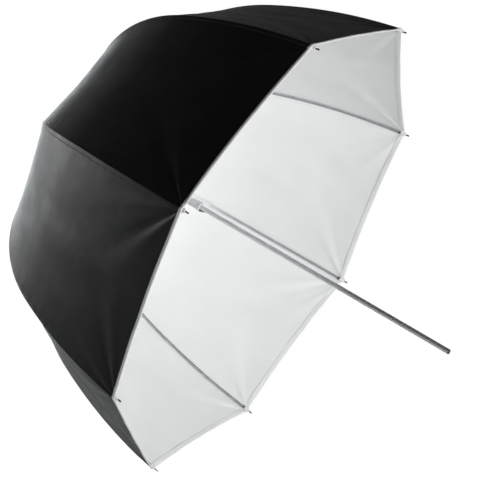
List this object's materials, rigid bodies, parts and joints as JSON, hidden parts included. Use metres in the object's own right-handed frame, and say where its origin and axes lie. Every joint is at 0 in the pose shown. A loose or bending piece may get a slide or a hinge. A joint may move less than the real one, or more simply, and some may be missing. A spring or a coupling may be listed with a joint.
{
  "type": "umbrella reflector",
  "caption": "Studio light umbrella, open: steel shaft, folding channel ribs and stretchers on a crown and a runner, and a deep white-lined canopy with a black back.",
  "frame": {"origin": "on the shaft's axis, in the middle of the stretch that the light's umbrella clamp grips in the open umbrella", "axes": "+X along the shaft towards its free end, so that the crown is at -X; +Z through one rib, square to the shaft"},
  "size_m": [0.739, 0.807, 0.807],
  "materials": {
    "canopy_cloth": "satin",
    "rib_steel": "satin",
    "polished_steel": "polished",
    "spring_steel": "satin",
    "dark_metal": "satin",
    "black_plastic": "satin",
    "runner_plastic": "satin",
    "dowel_wood": "matte"
  },
  "bodies": {
    "shaft": {"shaft": "polished_steel", "end_plug": "black_plastic", "catch_dowel": "dowel_wood", "crown": "black_plastic", "crown_wire": "rib_steel", "canopy_cap": "canopy_cloth", "top_ferrule": "dark_metal"},
    "catch": {"catch_spring": "spring_steel"},
    "runner": {"runner": "runner_plastic", "runner_wire": "rib_steel"},
    "rib_1": {"rib_inner_1": "rib_steel", "canopy_inner_1": "canopy_cloth"},
    "rib_end_1": {"rib_outer_1": "rib_steel", "rib_tip_1": "dark_metal", "canopy_outer_1": "canopy_cloth"},
    "strut_1": {"stretcher_1": "rib_steel"},
    "rib_2": {"rib_inner_2": "rib_steel", "canopy_inner_2": "canopy_cloth"},
    "rib_end_2": {"rib_outer_2": "rib_steel", "rib_tip_2": "dark_metal", "canopy_outer_2": "canopy_cloth"},
    "strut_2": {"stretcher_2": "rib_steel"},
    "rib_3": {"rib_inner_3": "rib_steel", "canopy_inner_3": "canopy_cloth"},
    "rib_end_3": {"rib_outer_3": "rib_steel", "rib_tip_3": "dark_metal", "canopy_outer_3": "canopy_cloth"},
    "strut_3": {"stretcher_3": "rib_steel"},
    "rib_4": {"rib_inner_4": "rib_steel", "canopy_inner_4": "canopy_cloth"},
    "rib_end_4": {"rib_outer_4": "rib_steel", "rib_tip_4": "dark_metal", "canopy_outer_4": "canopy_cloth"},
    "strut_4": {"stretcher_4": "rib_steel"},
    "rib_5": {"rib_inner_5": "rib_steel", "canopy_inner_5": "canopy_cloth"},
    "rib_end_5": {"rib_outer_5": "rib_steel", "rib_tip_5": "dark_metal", "canopy_outer_5": "canopy_cloth"},
    "strut_5": {"stretcher_5": "rib_steel"},
    "rib_6": {"rib_inner_6": "rib_steel", "canopy_inner_6": "canopy_cloth"},
    "rib_end_6": {"rib_outer_6": "rib_steel", "rib_tip_6": "dark_metal", "canopy_outer_6": "canopy_cloth"},
    "strut_6": {"stretcher_6": "rib_steel"},
    "rib_7": {"rib_inner_7": "rib_steel", "canopy_inner_7": "canopy_cloth"},
    "rib_end_7": {"rib_outer_7": "rib_steel", "rib_tip_7": "dark_metal", "canopy_outer_7": "canopy_cloth"},
    "strut_7": {"stretcher_7": "rib_steel"},
    "rib_8": {"rib_inner_8": "rib_steel", "canopy_inner_8": "canopy_cloth"},
    "rib_end_8": {"rib_outer_8": "rib_steel", "rib_tip_8": "dark_metal", "canopy_outer_8": "canopy_cloth"},
    "strut_8": {"stretcher_8": "rib_steel"}
  },
  "joints": [
    {"name": "canopy_fold", "type": "hinge", "parent": "shaft", "child": "rib_1", "pos_m": [-0.57438, -0.012, 0], "axis": [0, 0, 1], "range_deg": [0, 66], "deforming": ["canopy_inner_1", "canopy_inner_2", "canopy_inner_3", "canopy_inner_4", "canopy_inner_5", "canopy_inner_6", "canopy_inner_7", "canopy_inner_8", "canopy_outer_1", "canopy_outer_2", "canopy_outer_3", "canopy_outer_4", "canopy_outer_5", "canopy_outer_6", "canopy_outer_7", "canopy_outer_8"]},
    {"name": "rib_2_hinge", "type": "hinge", "parent": "shaft", "child": "rib_2", "pos_m": [-0.57438, -0.00849, 0.00849], "axis": [0, 0.7071, 0.7071], "range_deg": [0, 66.1]},
    {"name": "rib_3_hinge", "type": "hinge", "parent": "shaft", "child": "rib_3", "pos_m": [-0.57438, 0, 0.012], "axis": [0, 1, 0], "range_deg": [0, 66.1]},
    {"name": "rib_4_hinge", "type": "hinge", "parent": "shaft", "child": "rib_4", "pos_m": [-0.57438, 0.00849, 0.00849], "axis": [0, 0.7071, -0.7071], "range_deg": [0, 66.1]},
    {"name": "rib_5_hinge", "type": "hinge", "parent": "shaft", "child": "rib_5", "pos_m": [-0.57438, 0.012, 0], "axis": [0, 0, -1], "range_deg": [0, 66.1]},
    {"name": "rib_6_hinge", "type": "hinge", "parent": "shaft", "child": "rib_6", "pos_m": [-0.57438, 0.00849, -0.00849], "axis": [0, -0.7071, -0.7071], "range_deg": [0, 66.1]},
    {"name": "rib_7_hinge", "type": "hinge", "parent": "shaft", "child": "rib_7", "pos_m": [-0.57438, 0, -0.012], "axis": [0, -1, 0], "range_deg": [0, 66.1]},
    {"name": "rib_8_hinge", "type": "hinge", "parent": "shaft", "child": "rib_8", "pos_m": [-0.57438, -0.00849, -0.00849], "axis": [0, -0.7071, 0.7071], "range_deg": [0, 66.1]},
    {"name": "rib_1_flex", "type": "hinge", "parent": "rib_1", "child": "rib_end_1", "pos_m": [-0.48751, -0.2733, 0], "axis": [0, 0, 1], "range_deg": [-48.28, 0]},
    {"name": "rib_2_flex", "type": "hinge", "parent": "rib_2", "child": "rib_end_2", "pos_m": [-0.48751, -0.19325, 0.19325], "axis": [0, 0.7071, 0.7071], "range_deg": [-48.28, 0]},
    {"name": "rib_3_flex", "type": "hinge", "parent": "rib_3", "child": "rib_end_3", "pos_m": [-0.48751, 0, 0.2733], "axis": [0, 1, 0], "range_deg": [-48.28, 0]},
    {"name": "rib_4_flex", "type": "hinge", "parent": "rib_4", "child": "rib_end_4", "pos_m": [-0.48751, 0.19325, 0.19325], "axis": [0, 0.7071, -0.7071], "range_deg": [-48.28, 0]},
    {"name": "rib_5_flex", "type": "hinge", "parent": "rib_5", "child": "rib_end_5", "pos_m": [-0.48751, 0.2733, 0], "axis": [0, 0, -1], "range_deg": [-48.28, 0]},
    {"name": "rib_6_flex", "type": "hinge", "parent": "rib_6", "child": "rib_end_6", "pos_m": [-0.48751, 0.19325, -0.19325], "axis": [0, -0.7071, -0.7071], "range_deg": [-48.28, 0]},
    {"name": "rib_7_flex", "type": "hinge", "parent": "rib_7", "child": "rib_end_7", "pos_m": [-0.48751, 0, -0.2733], "axis": [0, -1, 0], "range_deg": [-48.28, 0]},
    {"name": "rib_8_flex", "type": "hinge", "parent": "rib_8", "child": "rib_end_8", "pos_m": [-0.48751, -0.19325, -0.19325], "axis": [0, -0.7071, 0.7071], "range_deg": [-48.28, 0]},
    {"name": "strut_1_pivot", "type": "hinge", "parent": "rib_1", "child": "strut_1", "pos_m": [-0.48751, -0.2733, 0], "axis": [0, 0, 1], "range_deg": [-132.1, 0]},
    {"name": "strut_2_pivot", "type": "hinge", "parent": "rib_2", "child": "strut_2", "pos_m": [-0.48751, -0.19325, 0.19325], "axis": [0, 0.7071, 0.7071], "range_deg": [-132.1, 0]},
    {"name": "strut_3_pivot", "type": "hinge", "parent": "rib_3", "child": "strut_3", "pos_m": [-0.48751, 0, 0.2733], "axis": [0, 1, 0], "range_deg": [-132.1, 0]},
    {"name": "strut_4_pivot", "type": "hinge", "parent": "rib_4", "child": "strut_4", "pos_m": [-0.48751, 0.19325, 0.19325], "axis": [0, 0.7071, -0.7071], "range_deg": [-132.1, 0]},
    {"name": "strut_5_pivot", "type": "hinge", "parent": "rib_5", "child": "strut_5", "pos_m": [-0.48751, 0.2733, 0], "axis": [0, 0, -1], "range_deg": [-132.1, 0]},
    {"name": "strut_6_pivot", "type": "hinge", "parent": "rib_6", "child": "strut_6", "pos_m": [-0.48751, 0.19325, -0.19325], "axis": [0, -0.7071, -0.7071], "range_deg": [-132.1, 0]},
    {"name": "strut_7_pivot", "type": "hinge", "parent": "rib_7", "child": "strut_7", "pos_m": [-0.48751, 0, -0.2733], "axis": [0, -1, 0], "range_deg": [-132.1, 0]},
    {"name": "strut_8_pivot", "type": "hinge", "parent": "rib_8", "child": "strut_8", "pos_m": [-0.48751, -0.19325, -0.19325], "axis": [0, -0.7071, 0.7071], "range_deg": [-132.1, 0]},
    {"name": "runner_pivot", "type": "hinge", "parent": "strut_1", "child": "runner", "pos_m": [-0.40064, -0.012, 0], "axis": [0, 0, 1], "range_deg": [0, 66.1]},
    {"name": "catch_press", "type": "slide", "parent": "shaft", "child": "catch", "axis": [0, 0, 1], "range_m": [0, 0.0032], "stiffness_N_per_m": 800, "deforming": ["catch_spring"]}
  ],
  "couplings": [
    {"joint": "rib_2_hinge", "follows": "canopy_fold", "ratio": 1},
    {"joint": "rib_3_hinge", "follows": "canopy_fold", "ratio": 1},
    {"joint": "rib_4_hinge", "follows": "canopy_fold", "ratio": 1},
    {"joint": "rib_5_hinge", "follows": "canopy_fold", "ratio": 1},
    {"joint": "rib_6_hinge", "follows": "canopy_fold", "ratio": 1},
    {"joint": "rib_7_hinge", "follows": "canopy_fold", "ratio": 1},
    {"joint": "rib_8_hinge", "follows": "canopy_fold", "ratio": 1},
    {"joint": "rib_1_flex", "follows": "canopy_fold", "ratio": -0.73},
    {"joint": "rib_2_flex", "follows": "canopy_fold", "ratio": -0.73},
    {"joint": "rib_3_flex", "follows": "canopy_fold", "ratio": -0.73},
    {"joint": "rib_4_flex", "follows": "canopy_fold", "ratio": -0.73},
    {"joint": "rib_5_flex", "follows": "canopy_fold", "ratio": -0.73},
    {"joint": "rib_6_flex", "follows": "canopy_fold", "ratio": -0.73},
    {"joint": "rib_7_flex", "follows": "canopy_fold", "ratio": -0.73},
    {"joint": "rib_8_flex", "follows": "canopy_fold", "ratio": -0.73},
    {"joint": "strut_1_pivot", "follows": "canopy_fold", "ratio": -2},
    {"joint": "strut_2_pivot", "follows": "canopy_fold", "ratio": -2},
    {"joint": "strut_3_pivot", "follows": "canopy_fold", "ratio": -2},
    {"joint": "strut_4_pivot", "follows": "canopy_fold", "ratio": -2},
    {"joint": "strut_5_pivot", "follows": "canopy_fold", "ratio": -2},
    {"joint": "strut_6_pivot", "follows": "canopy_fold", "ratio": -2},
    {"joint": "strut_7_pivot", "follows": "canopy_fold", "ratio": -2},
    {"joint": "strut_8_pivot", "follows": "canopy_fold", "ratio": -2},
    {"joint": "runner_pivot", "follows": "canopy_fold", "ratio": 1}
  ]
}
